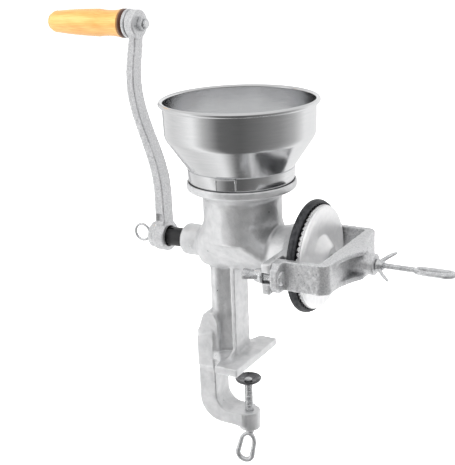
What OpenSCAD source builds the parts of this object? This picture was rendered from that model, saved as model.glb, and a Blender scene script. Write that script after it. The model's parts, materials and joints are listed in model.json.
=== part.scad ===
// Hand-cranked cast-iron grain mill with a sheet-steel hopper and a screw clamp for a table edge.
// Origin: on the clamp screw's axis, on the flat face that rests on the table. X runs along the shaft.

/* [Frame] */
// Height of the shaft axis above the table
shaft_h = 107; // [95:1:125]
// Gap left between parts that slide or turn past each other
gap = 0.3; // [0.2:0.05:0.5]
// Radial clearance of a running fit
run = 0.05; // [0.02:0.01:0.1]

/* [Hopper] */
// Outer radius of the bowl's straight wall
bowl_r = 63.8; // [58:0.2:70]
// Height of the bowl's rolled lip above the shaft axis
lip_z = 127.5; // [115:0.5:140]
// Height of the foot of the straight wall above the shaft axis
wall_z = 98.4; // [92:0.2:104]
// Height of the cone's lower end above the shaft axis
cone_z = 69; // [67:0.5:72]
// Radius of the rolled lip's tube
lip_tube = 1.4; // [1:0.1:2]
// Thickness of the sheet
sheet_t = 0.9; // [0.6:0.1:1.2]
// Height of the collar above the shaft axis
collar_z = 72; // [70:0.5:75]

/* [Body] */
// Outer radius of the cup's rim
cup_r = 47; // [46.5:0.1:49]
// Inner radius of the cup, which holds the collar
cup_bore = 45.3; // [45.2:0.1:45.8]
// Height of the cup's rim above the shaft axis
cup_z = 60.5; // [58:0.5:62]
// Outer radius of the throat
throat_r = 34; // [30:0.5:36]
// Outer radius of the barrel
barrel_r = 20.5; // [20:0.5:23]
// Radius of the barrel's bore
barrel_bore = 17; // [16.8:0.1:17.5]
// Place of the barrel's end wall along the shaft
wall_x = -35; // [-37:0.5:-34]
// Outer radius of the shaft boss
boss_r = 14; // [12:0.5:15]
// Place of the boss's outer face along the shaft
boss_x = -58.5; // [-62:0.5:-56]

/* [Burrs] */
// Outer radius of the stationary burr
burr_r = 47.8; // [45:0.1:48]
// Place of the stationary burr's back face along the shaft
burr_x = 63; // [62:0.5:64]
// Thickness of the stationary burr
burr_t = 6.3; // [6:0.1:7]
// Outer radius of the rotating burr
rotor_r = 43.4; // [42:0.1:45]
// Grinding gap between the burrs at rest
grind_gap = 0.6; // [0.4:0.1:1.2]

/* [Shaft and crank] */
// Radius of the drive shaft
shaft_r = 6; // [5.5:0.1:6.5]
// Outer radius of the black bush
bush_r = 8.5; // [8:0.1:9]
// Outer radius of the crank's hub
hub_r = 13.5; // [12:0.5:15]
// Length of the crank from shaft axis to grip axis
crank_r = 188; // [150:1:200]
// Length of the wooden grip
grip_len = 82; // [70:1:90]
// Largest radius of the wooden grip
grip_r = 12.6; // [11.8:0.2:13.4]

/* [Yoke] */
// Half the distance between the yoke's arms, on their outer faces
yoke_half = 54; // [53.8:0.1:56]
// Half the height of the yoke
yoke_h = 12.5; // [11:0.5:14]
// Place of the yoke bar's inner face along the shaft
bar_x = 93.5; // [93:0.5:96]
// Place of the yoke boss's outer face along the shaft
yoke_boss_x = 122; // [116:0.5:126]
// Distance of the yoke bolts from the shaft axis
bolt_y = 60; // [59:0.5:62]
// Radius of the yoke bolts
bolt_r = 4; // [3.5:0.1:4.2]
// Radius of the adjusting screw
adj_r = 2.5; // [2.3:0.1:3]

/* [Clamp] */
// Half the width of the post and clamp casting
spine_w = 12.5; // [11:0.5:14]
// Half the width of the table plate
plate_half = 38.5; // [34:0.5:42]
// Thickness of the table plate
plate_t = 7; // [6:0.5:9]
// Depth of the clamp arm's upper face below the table face
arm_z = -50; // [-54:0.5:-48]
// Radius of the clamp screw
screw_r = 3.8; // [3.5:0.1:4.2]
// Height of the pad's rim below the table face at rest
pad_z = -18; // [-24:0.5:-14]

/* [Hidden] */
$fn = 96;
hull_fn = 32;
through = 1;
iron = [0.72, 0.73, 0.74];
steel = [0.85, 0.86, 0.87];
zinc = [0.80, 0.81, 0.80];
graphite = [0.22, 0.22, 0.23];
wood = [0.90, 0.68, 0.30];

// Stations along the shaft
burr_front = burr_x + burr_t;
rotor_x = burr_front + grind_gap;
rotor_t = 2.6;
carrier_x = rotor_x + rotor_t;
carrier_t = 3;
nose_x = rotor_x + 13.2;
ball_r = 3;
cap_x = nose_x + 2 + gap;
cap_t = bar_x - 3 - cap_x;
pin_x = rotor_x + 4.4;
screw_ring = 26;
screw_angles = [45, 165, 285];
adj_eye_x = 153;
adj_eye_tilt = -96;
ear_x = 51;
ear_t = 7;
flange_x = ear_x + ear_t;
flange_t = 7;
bar_t = 9;
rib_t = 4;
arm_wall = 5.5;
corner_r = 9;
seam_angle = -67.5;
hub_x0 = -86;
hub_x1 = -75;
washer_t = 6.5;

// Crank stations
arm_w = 10;
arm_taper = 3;
rib_w = 1.8;
channel = 0.9;
arm_d = 16;
arm_d_top = 12.5;
arm_in_x = -80.5;
arm_out_x = -104;
eye_x = -98.5;
eye_t = 9;
eye_r = 12;

// Clamp stations
spine_x0 = -44;
spine_x1 = -27;
arm_t = 12;
screw_boss_r = 10;
screw_boss_h = 17.5;
eye_drop = 5;

// Points of an arc about c, from angle a0 to angle a1
function arc(c, r, a0, a1, n = 12) =
  [for (i = [0 : n]) c + r * [cos(a0 + (a1 - a0) * i / n), sin(a0 + (a1 - a0) * i / n)]];

// A value that goes smoothly from a to b as t goes from 0 to 1
function ease(a, b, t) = a + (b - a) * (1 - cos(180 * min(max(t, 0), 1))) / 2;

// Place of the crank arm's centre line at height z above the shaft
function arm_x(z) = z < 138
  ? ease(arm_in_x, arm_out_x, (z - 40) / 98)
  : ease(arm_out_x, eye_x, (z - 138) / (crank_r - 138));

// Half width of the crank arm at height z: it narrows towards the eye
function arm_half(z) = (arm_w - arm_taper * z / crank_r) / 2;

// Puts a shape drawn along +Z on the shaft axis, starting at x
module on_shaft(x) {
  translate([x, 0, shaft_h]) rotate([0, 90, 0]) children();
}

// A plain ring or disc on the shaft axis from x0 to x1
module disc(x0, x1, r) {
  on_shaft(x0) cylinder(h = x1 - x0, r = r);
}

// An oval wire ring in the XZ plane: long along X, its near end at the origin
module wire_ring(length, width, wire) {
  bend = width / 2 - wire;
  straight = length - width;
  translate([width / 2, 0, 0]) rotate([90, 0, 0]) {
    for (side = [-1, 1])
      translate([0, side * bend, 0]) rotate([0, 90, 0]) cylinder(h = straight, r = wire, $fn = 24);
    rotate([0, 0, 90]) rotate_extrude(angle = 180, $fn = 48)
      translate([bend, 0]) circle(r = wire, $fn = 24);
    translate([straight, 0, 0]) rotate([0, 0, -90]) rotate_extrude(angle = 180, $fn = 48)
      translate([bend, 0]) circle(r = wire, $fn = 24);
  }
}

// A wing nut on the X axis: a hub with two raised wings, threaded hole of radius r
module wing_nut(r, hub, tall, span, reach) {
  difference() {
    union() {
      rotate([0, 90, 0]) cylinder(h = tall, r1 = hub, r2 = hub * 0.8);
      for (side = [-1, 1])
        hull() {
          translate([tall * 0.5, side * hub * 0.6, 0])
            cylinder(h = 2.6, r = tall * 0.45, center = true, $fn = hull_fn);
          translate([reach - 2.5, side * (span - 2.5), 0]) rotate([90, 0, 90])
            rotate([0, 90, 0]) cylinder(h = 2.2, r = 2.5, center = true, $fn = hull_fn);
        }
    }
    translate([-through, 0, 0]) rotate([0, 90, 0]) cylinder(h = 3 * tall, r = r);
  }
}

// Outside of the cup and throat
module cup_outside() {
  translate([0, 0, shaft_h]) rotate_extrude()
    polygon([[0, 10], [throat_r, 10], [throat_r, 47], [throat_r + 3, 50], [cup_r - 2, 53.2], [cup_r, 54.6],
      [cup_r, cup_z - 1], [cup_r - 0.7, cup_z], [0, cup_z]]);
}

// Outside of the barrel, blended up to the throat and out to the mouth
module barrel_outside() {
  hull() {
    translate([0, 0, shaft_h + 14]) cylinder(h = 10, r = throat_r, $fn = 64);
    disc(wall_x, wall_x + 5, barrel_r);
    disc(30, 34, barrel_r);
  }
  hull() {
    disc(28, 30, barrel_r);
    disc(ear_x, burr_x, 26);
  }
}

// The mouth plate with its two forked ears
module mouth_plate() {
  translate([ear_x, 0, shaft_h]) rotate([90, 0, 90]) {
    linear_extrude(height = ear_t)
      polygon([[-66, -yoke_h - 1], [66, -yoke_h - 1], [66, yoke_h], [30, yoke_h], [16, 21], [-16, 21],
        [-30, yoke_h], [-66, yoke_h]]);
    linear_extrude(height = burr_x - ear_x)
      polygon([[-40, -yoke_h], [40, -yoke_h], [40, yoke_h], [28, yoke_h], [16, 21], [-16, 21],
        [-28, yoke_h], [-40, yoke_h]]);
  }
}

// The post: a broad rounded back, a web and a flat front flange
module post() {
  linear_extrude(height = shaft_h - 12) {
    hull() {
      translate([-24.5, 0]) circle(r = 9, $fn = 48);
      translate([-12, -4.5]) square([4, 9]);
    }
    translate([-7.8, -spine_w]) square([4, 2 * spine_w]);
  }
}

// The clamp's C: flare, spine, lower arm and screw boss
module clamp_frame() {
  rotate([90, 0, 0]) {
    translate([0, 0, -spine_w]) linear_extrude(height = 2 * spine_w)
      polygon(concat([[-22, 0], [-22, 34], [-26, 44]], arc([-33, 38], 6, 75, 150, 5),
        arc([-36, 24], 8, 140, 180, 4), [[spine_x0, 12]],
        arc([spine_x0 + 22, arm_z - arm_t + 22], 22, 180, 265, 10),
        [[0, arm_z - arm_t - 1], [0, arm_z]],
        arc([spine_x1 + 14, arm_z + 14], 14, 270, 180, 10), [[spine_x1, 0]]));
    translate([0, 0, -spine_w - 1]) linear_extrude(height = 2 * spine_w + 2)
      polygon([[spine_x0 - 0.5, -8], [spine_x0 - 0.5, 20], [spine_x1 - 0.5, 26], [spine_x1 - 0.5, -8]]);
  }
  translate([0, 0, arm_z - screw_boss_h]) cylinder(h = screw_boss_h, r = screw_boss_r);
}

// The flat plate that rests on the table
module table_plate() {
  linear_extrude(height = plate_t)
    polygon([[10, -plate_half], [10, plate_half], [-7, plate_half], [-11, 28], [-20, 16],
      [spine_x1 - 2, spine_w], [spine_x1 - 2, -spine_w], [-20, -16], [-13, -28], [-12, -plate_half]]);
  for (side = [-1, 1])
    translate([-6.5, side * 12, plate_t]) rotate([90, 0, 90]) linear_extrude(height = 3, center = true)
      polygon([[0, -1], [side * 13, -1], [0, 7]]);
}

module body_casting() {
  color(iron) difference() {
    union() {
      cup_outside();
      barrel_outside();
      mouth_plate();
      on_shaft(boss_x) rotate_extrude() polygon(concat([[0, 0]], arc([boss_r - 4, 4], 4, -90, 0, 8),
        [[boss_r, wall_x + 3 - boss_x], [0, wall_x + 3 - boss_x]]));
      disc(wall_x - 3, wall_x + 2, boss_r + 3.5);
      post();
      clamp_frame();
      table_plate();
    }
    translate([0, 0, shaft_h]) rotate_extrude()
      polygon([[0, 2], [14, 2], [15, 10], [27, 25], [29, 44], [40, 57], [cup_bore, 57],
        [cup_bore, cup_z + through], [0, cup_z + through]]);
    disc(wall_x + 4, burr_x + through, barrel_bore);
    disc(boss_x - through, wall_x + 5, bush_r);
    for (side = [-1, 1]) {
      translate([ear_x - through, side * 70, shaft_h]) rotate([0, 90, 0]) {
        translate([0, -side * (70 - bolt_y), 0])
          cylinder(h = ear_t + 2 * through, r = bolt_r + 0.4);
        translate([-bolt_r - 0.4, min(0, -side * (70 - bolt_y)), 0])
          cube([2 * bolt_r + 0.8, 70 - bolt_y, ear_t + 2 * through]);
      }
      translate([ear_x - through, side * 31, shaft_h]) rotate([0, 90, 0]) cylinder(h = 20, r = 2.5);
    }
    translate([0, 0, arm_z - screw_boss_h - through])
      cylinder(h = screw_boss_h + 2 * through, r = screw_r + run);
  }
}

module hopper_bowl() {
  inner = bowl_r - sheet_t;
  neck_r = 43.4;
  color(steel) translate([0, 0, shaft_h]) {
    rotate_extrude() polygon([[bowl_r, lip_z], [bowl_r, wall_z + 2], [bowl_r - 1.2, wall_z],
      [neck_r, cone_z], [neck_r, 60], [neck_r - sheet_t, 60], [neck_r - sheet_t, cone_z + 0.4],
      [inner - 1.2, wall_z + 0.6], [inner, wall_z + 2.4], [inner, lip_z]]);
    rotate_extrude() difference() {
      translate([bowl_r + lip_tube + 0.5, lip_z]) circle(r = lip_tube + 0.7, $fn = 24);
      translate([bowl_r + lip_tube + 0.5, lip_z]) circle(r = lip_tube - 0.2, $fn = 24);
    }
  }
}

module hopper_collar() {
  color(steel) translate([0, 0, shaft_h]) {
    difference() {
      rotate_extrude() polygon([[43.5, 57.3], [45, 57.3], [45, 61], [46.7, collar_z], [45.8, collar_z],
        [44.2, 61], [43.5, 60]]);
      rotate([0, 0, seam_angle]) translate([44, -0.4, 61]) cube([4, 0.8, 20]);
    }
  }
}

module stationary_burr() {
  color(graphite) difference() {
    on_shaft(burr_x) cylinder(h = burr_t, r = burr_r);
    on_shaft(burr_x - through) cylinder(h = burr_t + 2 * through, r = 18);
    on_shaft(burr_front - 1.2) cylinder(h = 2, r1 = 30, r2 = 34);
    for (i = [0 : 23])
      on_shaft(burr_front - 1) rotate([0, 0, 15 * i]) translate([33, 3, 0]) rotate([0, 0, 12])
        cube([16, 1.6, 2]);
    for (side = [-1, 1])
      translate([burr_x - through, side * 31, shaft_h]) rotate([0, 90, 0]) {
        cylinder(h = 20, r = 2.5);
        translate([0, 0, burr_front - 3.4 - burr_x + through]) cylinder(h = 20, r = 4.6);
      }
  }
}

module burr_screws() {
  color(zinc) for (side = [-1, 1])
    translate([ear_x - 5, side * 31, shaft_h]) rotate([0, 90, 0]) {
      cylinder(h = burr_front - 3 - ear_x + 5, r = 2.4);
      translate([0, 0, burr_front - 3.2 - ear_x + 5]) difference() {
        cylinder(h = 1.8, r = 4.4);
        translate([-5, -0.6, 1]) cube([10, 1.2, 2]);
      }
    }
}

module burr_nuts() {
  color(zinc) for (side = [-1, 1])
    translate([ear_x - 4, side * 31, shaft_h]) rotate([0, 90, 0]) difference() {
      cylinder(h = 4, r = 4.6, $fn = 6);
      translate([0, 0, -through]) cylinder(h = 6, r = 2.4);
    }
}

module shaft_bush() {
  color(graphite) difference() {
    disc(hub_x1 - 2, wall_x + 4, bush_r);
    disc(hub_x1 - 3, wall_x + 5, shaft_r + run);
    translate([hub_x1 - 3, 0, shaft_h + 2]) rotate([25, 0, 0]) translate([0, -0.6, 0]) cube([8, 1.2, 12]);
  }
}

module feed_worm_shaft() {
  worm_x0 = wall_x + 6;
  worm_len = 86;
  color(steel) {
    disc(hub_x0 + 1, worm_x0 + 1, shaft_r);
    disc(worm_x0, worm_x0 + worm_len, 7.5);
    difference() {
      disc(worm_x0 + worm_len - 1, rotor_x + 6.5, shaft_r);
      translate([pin_x, 0, shaft_h]) rotate([90, 0, 0]) cylinder(h = 30, r = 2, center = true);
    }
    on_shaft(worm_x0) linear_extrude(height = worm_len, twist = -1000, slices = 80, $fn = 16)
      polygon(concat(arc([0, 0], 16, -14, 14, 4), arc([0, 0], 6, 24, -24, 4)));
  }
}

module drive_pin() {
  color(zinc) translate([pin_x, 0, shaft_h]) rotate([90, 0, 0]) cylinder(h = 24, r = 2, center = true);
}

module burr_carrier() {
  bore_end = rotor_x + 9;
  color(steel) difference() {
    on_shaft(0) rotate_extrude() polygon([[0, rotor_x - 0.3], [15, rotor_x - 0.3], [15, carrier_x],
      [rotor_r, carrier_x], [rotor_r, carrier_x + 2.2], [rotor_r - 2, carrier_x + carrier_t + 0.6],
      [33, carrier_x + carrier_t + 0.8], [24, carrier_x + carrier_t - 0.6], [18, carrier_x + 2.2],
      [17, carrier_x + 3.2], [12.5, nose_x - 3], [9, nose_x], [0, nose_x]]);
    disc(rotor_x - 1, bore_end, shaft_r + run);
    translate([pin_x, 0, shaft_h]) rotate([90, 0, 0]) cylinder(h = 26, r = 2 + gap, center = true);
    translate([rotor_x - 2, -13, shaft_h - 2 - gap]) cube([pin_x - rotor_x + 2, 26, 4 + 2 * gap]);
    translate([nose_x - 1, 0, shaft_h]) sphere(r = ball_r + run);
    for (a = screw_angles)
      on_shaft(carrier_x - through) rotate([0, 0, a]) translate([screw_ring, 0, 0])
        cylinder(h = through + 2.2, r = 1.9);
  }
}

module rotating_burr() {
  color(steel) difference() {
    on_shaft(rotor_x) cylinder(h = rotor_t, r = rotor_r + 0.5);
    on_shaft(rotor_x - through) cylinder(h = rotor_t + 2 * through, r = 18);
    for (i = [0 : 35])
      on_shaft(rotor_x - 1) rotate([0, 0, 10 * i]) translate([30, 3, 0]) rotate([0, 0, 12])
        cube([20, 2, 2.2]);
    for (a = screw_angles)
      on_shaft(rotor_x) rotate([0, 0, a]) translate([screw_ring, 0, 0]) {
        translate([0, 0, -through]) cylinder(h = 8, r = 1.9);
        translate([0, 0, -0.01]) cylinder(h = 1.7, r1 = 3.5, r2 = 1.9);
      }
  }
}

module carrier_screws() {
  color(zinc) for (a = screw_angles)
    on_shaft(rotor_x + 0.1) rotate([0, 0, a]) translate([screw_ring, 0, 0]) {
      cylinder(h = rotor_t + 2, r = 1.85);
      cylinder(h = 1.5, r1 = 3.35, r2 = 1.85);
    }
}

module thrust_ball() {
  color(zinc) translate([nose_x - 1, 0, shaft_h]) sphere(r = ball_r, $fn = 48);
}

module crank_arm() {
  zs = [for (i = [0 : 28]) 8 + (crank_r - 8) * i / 28];
  color(iron) difference() {
    union() {
      disc(hub_x0, hub_x1, hub_r);
      intersection() {
        translate([0, 0, shaft_h]) rotate([90, 0, 0])
          translate([0, 0, -arm_d / 2]) linear_extrude(height = arm_d)
            polygon(concat([for (z = zs) [arm_x(z) - arm_half(z), z]],
              [for (i = [28 : -1 : 0]) [arm_x(zs[i]) + arm_half(zs[i]), zs[i]]]));
        translate([arm_out_x - 20, 0, shaft_h]) rotate([90, 0, 90]) linear_extrude(height = 60)
          polygon([[-arm_d / 2, 0], [arm_d / 2, 0], [arm_d_top / 2, crank_r],
            [-arm_d_top / 2, crank_r]]);
      }
      translate([eye_x - eye_t / 2, 0, shaft_h + crank_r]) rotate([0, 90, 0])
        cylinder(h = eye_t, r = eye_r);
    }
    disc(hub_x0 - through, hub_x1 + through, shaft_r + 0.02);
    disc(hub_x1 - 2 - gap, hub_x1 + through, bush_r + 0.8);
    translate([eye_x - eye_t, 0, shaft_h + crank_r]) rotate([0, 90, 0])
      cylinder(h = 2 * eye_t, r = 4.02);
    for (side = [-1, 1])
      translate([0, side * (arm_d + arm_d_top) / 4, shaft_h]) rotate([90 + side * 0.6, 0, 0])
        linear_extrude(height = 2 * channel, center = true)
          polygon(concat([for (i = [1 : 26]) [arm_x(zs[i]) - arm_half(zs[i]) + rib_w, zs[i]]],
            [for (i = [26 : -1 : 1]) [arm_x(zs[i]) + arm_half(zs[i]) - rib_w, zs[i]]]));
  }
}

module crank_washer() {
  color(zinc) difference() {
    disc(hub_x0 - washer_t, hub_x0, hub_r - 1.5);
    disc(hub_x0 - washer_t - 1, hub_x0 + 1, 3.2);
  }
}

module crank_ring_screw() {
  color(zinc) {
    disc(hub_x0 - washer_t - 4.5, hub_x0 + 0.9, 3);
    disc(hub_x0 - washer_t - 3, hub_x0 - washer_t - gap, 4.5);
    translate([hub_x0 - washer_t - 3.5, 0, shaft_h]) mirror([1, 0, 0]) wire_ring(17.6, 17.6, 1.3);
  }
}

module grip_bolt() {
  x_end = eye_x + eye_t / 2 + 7;
  x_grip = eye_x - eye_t / 2 - 3 - gap;
  color(zinc) translate([0, 0, shaft_h + crank_r]) rotate([0, 90, 0]) {
    translate([0, 0, x_grip - grip_len + 6]) cylinder(h = x_end - x_grip + grip_len - 6, r = 4);
    translate([0, 0, x_grip - grip_len + 3]) cylinder(h = 3.2, r = 6.5);
  }
}

module grip_washer() {
  color(zinc) translate([eye_x - eye_t / 2 - 3, 0, shaft_h + crank_r]) rotate([0, 90, 0]) difference() {
    cylinder(h = 3, r = 12.6);
    translate([0, 0, -through]) cylinder(h = 5, r = 4.02);
  }
}

module grip_nut() {
  color(zinc) translate([eye_x + eye_t / 2, 0, shaft_h + crank_r]) rotate([0, 90, 0]) difference() {
    rotate([0, 0, 10]) cylinder(h = 5, r = 6.6, $fn = 4);
    translate([0, 0, -through]) cylinder(h = 8, r = 4.02);
  }
}

module wooden_grip() {
  x0 = eye_x - eye_t / 2 - 3 - gap;
  color(wood) translate([x0, 0, shaft_h + crank_r]) rotate([0, -90, 0]) difference() {
    rotate_extrude() polygon(concat([[0, 0], [grip_r - 0.4, 0], [grip_r, 1.5]],
      [for (i = [0 : 16]) let (t = i / 16)
        [grip_r - 1 * sin(180 * min(t * 2.8, 1)) - 0.4 - 2.4 * pow(t, 3), 4 + (grip_len - 12) * t]],
      arc([grip_r - 8.8, grip_len - 6], 6, 0, 90, 8), [[0, grip_len]]));
    translate([0, 0, -through]) cylinder(h = grip_len + 2 * through, r = 4.1);
    translate([0, 0, grip_len - 6.6]) cylinder(h = 10, r = 7.2);
  }
}

// The yoke's U, seen from above, with rounded corners
module yoke_outline() {
  inner = yoke_half - arm_wall;
  end = bar_x + bar_t;
  polygon(concat([[flange_x, -yoke_half]],
    arc([end - corner_r, -yoke_half + corner_r], corner_r, -90, 0, 8),
    arc([end - corner_r, yoke_half - corner_r], corner_r, 0, 90, 8),
    [[flange_x, yoke_half], [flange_x, inner]],
    arc([bar_x - 3, inner - 3], 3, 90, 0, 5),
    arc([bar_x - 3, 3 - inner], 3, 0, -90, 5),
    [[flange_x, -inner]]));
}

// A rib along the yoke's bar, seen from above: it widens in a curve towards the boss
module yoke_rib() {
  end = bar_x + bar_t - 0.5;
  reach = yoke_boss_x - 9 - end;
  foot = yoke_half - 7;
  curve = [for (i = [0 : 12]) [end + reach * pow(i / 12, 2.2), foot + (6 - foot) * i / 12]];
  polygon(concat([[bar_x + 1, foot]], curve, [for (i = [12 : -1 : 0]) [curve[i][0], -curve[i][1]]],
    [[bar_x + 1, -foot]]));
}

module yoke() {
  inner = yoke_half - arm_wall;
  color(iron) difference() {
    union() {
      translate([0, 0, shaft_h - yoke_h]) linear_extrude(height = 2 * yoke_h) yoke_outline();
      for (side = [-1, 1])
        translate([flange_x, side > 0 ? inner : -66, shaft_h - yoke_h])
          cube([flange_t, 66 - inner, 2 * yoke_h]);
      on_shaft(bar_x) cylinder(h = yoke_boss_x - bar_x, r = 9);
      for (z = [-yoke_h, yoke_h - rib_t])
        translate([0, 0, shaft_h + z]) linear_extrude(height = rib_t) yoke_rib();
    }
    for (side = [-1, 1]) {
      translate([0, side * bolt_y, shaft_h]) rotate([0, 90, 0])
        cylinder(h = flange_x + 20, r = bolt_r + 0.3);
      for (end = [-1, 1])
        translate([flange_x - 1, side * 66, shaft_h + end * yoke_h]) rotate([45, 0, 0])
          cube([2 * flange_t + 4, 7, 7], center = true);
    }
    disc(bar_x - 1, yoke_boss_x + 1, adj_r + run);
  }
}

module yoke_bolt(side) {
  color(zinc) translate([0, side * bolt_y, shaft_h]) rotate([0, 90, 0]) {
    translate([0, 0, ear_x - 19]) cylinder(h = flange_x + flange_t - ear_x + 19.5, r = bolt_r);
    translate([0, 0, flange_x + flange_t]) cylinder(h = 2.8, r = bolt_y - yoke_half - run);
  }
}

module front_yoke_bolt() {
  yoke_bolt(-1);
}

module back_yoke_bolt() {
  yoke_bolt(1);
}

module yoke_nut(side) {
  color(zinc) translate([ear_x - gap, side * bolt_y, shaft_h]) mirror([1, 0, 0]) rotate([-6, 0, 0])
    wing_nut(bolt_r + run, 6.5, 8, 14, 17);
}

module front_wing_nut() {
  yoke_nut(-1);
}

module back_wing_nut() {
  yoke_nut(1);
}

module adjusting_screw() {
  color(zinc) {
    disc(cap_x + 2, adj_eye_x + 2, adj_r);
    translate([adj_eye_x, 0, shaft_h]) rotate([adj_eye_tilt, 0, 0]) wire_ring(36, 19, 2.1);
  }
}

module thrust_cap() {
  color(zinc) difference() {
    disc(cap_x, cap_x + cap_t, 7);
    disc(cap_x + 2 - gap, cap_x + cap_t + 1, adj_r + run);
  }
}

module lock_wing_nut() {
  color(zinc) translate([yoke_boss_x + gap, 0, shaft_h]) rotate([42, 0, 0])
    wing_nut(adj_r + run, 5, 6, 13.5, 17);
}

module clamp_screw() {
  color(zinc) {
    translate([0, 0, arm_z - screw_boss_h - eye_drop - 1])
      cylinder(h = pad_z - 6 - arm_z + screw_boss_h + eye_drop + 1, r = screw_r);
    translate([0, 0, pad_z - 6.2]) cylinder(h = 4.2, r = 2.4);
    translate([0, 0, arm_z - screw_boss_h - eye_drop])
      rotate([0, 99, 0]) rotate([-8, 0, 0]) wire_ring(34, 19, 2.5);
  }
}

module clamp_pad() {
  color(graphite) translate([0, 0, pad_z]) difference() {
    rotate_extrude() polygon([[0, -5.7], [6, -5.7], [11.4, -2.4], [12, 0], [11.2, 0], [9.5, -1.4],
      [6, -2.7], [0, -3]]);
    translate([0, 0, -7]) cylinder(h = 7, r = 2.4 + run);
  }
}

module pad_rivet() {
  color(zinc) translate([0, 0, pad_z - 2]) difference() {
    cylinder(h = 1.4, r = 3.6);
    translate([0, 0, 1.6]) sphere(r = 0.8, $fn = 24);
  }
}

body_casting();
hopper_bowl();
hopper_collar();
stationary_burr();
burr_screws();
burr_nuts();
shaft_bush();
feed_worm_shaft();
drive_pin();
burr_carrier();
rotating_burr();
carrier_screws();
thrust_ball();
crank_arm();
crank_washer();
crank_ring_screw();
grip_bolt();
grip_washer();
grip_nut();
wooden_grip();
yoke();
front_yoke_bolt();
back_yoke_bolt();
front_wing_nut();
back_wing_nut();
adjusting_screw();
thrust_cap();
lock_wing_nut();
clamp_screw();
clamp_pad();
pad_rivet();
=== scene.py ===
"""The looks of a hand-cranked cast-iron grain mill that clamps to a table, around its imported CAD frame."""

import json
import logging
import math
from dataclasses import dataclass, field
from enum import Enum
from typing import Callable, Iterable, Sequence

import bmesh
import bpy
import numpy as np
from mathutils import Matrix, Vector, noise


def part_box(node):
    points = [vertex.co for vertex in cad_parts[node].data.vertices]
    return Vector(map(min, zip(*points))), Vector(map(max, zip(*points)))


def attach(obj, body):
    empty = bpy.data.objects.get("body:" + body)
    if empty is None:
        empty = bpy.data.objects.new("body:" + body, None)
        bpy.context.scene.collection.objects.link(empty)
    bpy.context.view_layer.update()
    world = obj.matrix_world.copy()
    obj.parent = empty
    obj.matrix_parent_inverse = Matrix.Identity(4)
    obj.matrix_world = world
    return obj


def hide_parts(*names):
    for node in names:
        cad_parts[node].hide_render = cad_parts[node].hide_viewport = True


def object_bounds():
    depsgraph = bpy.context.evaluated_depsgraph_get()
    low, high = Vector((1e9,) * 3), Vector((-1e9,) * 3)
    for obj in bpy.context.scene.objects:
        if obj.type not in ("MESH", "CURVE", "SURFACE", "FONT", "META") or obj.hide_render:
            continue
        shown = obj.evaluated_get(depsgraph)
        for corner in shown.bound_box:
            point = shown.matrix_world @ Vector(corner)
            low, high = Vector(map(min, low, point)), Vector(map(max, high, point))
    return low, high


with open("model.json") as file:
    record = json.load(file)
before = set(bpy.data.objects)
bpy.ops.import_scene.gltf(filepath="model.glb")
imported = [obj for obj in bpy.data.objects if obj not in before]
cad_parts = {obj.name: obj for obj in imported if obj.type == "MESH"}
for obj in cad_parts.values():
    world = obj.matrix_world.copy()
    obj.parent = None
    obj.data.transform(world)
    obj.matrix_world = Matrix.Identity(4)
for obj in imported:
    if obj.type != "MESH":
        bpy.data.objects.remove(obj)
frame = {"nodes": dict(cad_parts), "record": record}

logging.basicConfig(level=logging.INFO, format="%(message)s")
LOG = logging.getLogger("grain_mill")

MM = 0.001
CAD_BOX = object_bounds()
Mesh, Thing, Material = bpy.types.Mesh, bpy.types.Object, bpy.types.Material
Tree, Node, Socket = bpy.types.NodeTree, bpy.types.Node, bpy.types.NodeSocket
Point = tuple[float, float]
Ring = Sequence[Sequence[float]]
Values = dict[str | int, object]


class Slot(Enum):
    """The record's material slots."""

    CAST = "tinned_cast_iron"
    SHEET = "polished_stainless"
    DARK = "dark_cast_iron"
    ZINC = "bright_zinc"
    NYLON = "black_nylon"
    TURNED = "turned_iron"
    BALL = "bearing_steel"
    BLACK = "black_nickel"
    WOOD = "lacquered_beech"


# ---------------------------------------------------------------- places


def turn(axis: str, degrees: float) -> Matrix:
    """A rotation about an axis, in degrees."""
    return Matrix.Rotation(math.radians(degrees), 4, axis)


def shift(x: float = 0.0, y: float = 0.0, z: float = 0.0) -> Matrix:
    """A move, in metres."""
    return Matrix.Translation((x, y, z))


def middle(node: str) -> Vector:
    """The middle of a CAD node's box."""
    low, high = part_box(node)
    return (low + high) / 2


SHAFT_Z = middle("thrust_cap").z
SHAFT_MM = SHAFT_Z / MM


def along_x(x: float, y: float = 0.0, z: float = SHAFT_Z, way: float = 90) -> Matrix:
    """A place for a part made round Z to lie along X.

    Args:
        x: Where the part's foot goes, in metres.
        y: Its axis's place along Y.
        z: Its axis's height; the shaft's if not given.
        way: 90 to rise along +X, -90 to rise along -X.

    Returns:
        The matrix.
    """
    return shift(x, y, z) @ turn("Y", way)


class Box:
    """The box of a CAD node: its corners in metres and its sizes in millimetres."""

    def __init__(self, node: str) -> None:
        """Looks the node's box up in the frame."""
        self.low, self.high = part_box(node)

    @property
    def length(self) -> float:
        """Its size along the shaft."""
        return (self.high.x - self.low.x) / MM

    @property
    def radius(self) -> float:
        """Half its size up and down."""
        return (self.high.z - self.low.z) / 2 / MM

    @property
    def tall(self) -> float:
        """Its size up and down."""
        return (self.high.z - self.low.z) / MM


# ---------------------------------------------------------------- materials


def linear(hex_colour: str) -> tuple[float, float, float, float]:
    """Turns an sRGB hex colour into a linear one.

    Args:
        hex_colour: Six hex digits, such as "C9CACC".

    Returns:
        Linear red, green, blue and an alpha of 1.
    """
    parts = [int(hex_colour[i : i + 2], 16) / 255 for i in (0, 2, 4)]
    return tuple(c / 12.92 if c <= 0.04045 else ((c + 0.055) / 1.055) ** 2.4 for c in parts) + (1.0,)


def per_mm(size: float) -> float:
    """The texture scale, per metre, of a pattern whose features are this many millimetres across."""
    return 1000 / size


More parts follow.
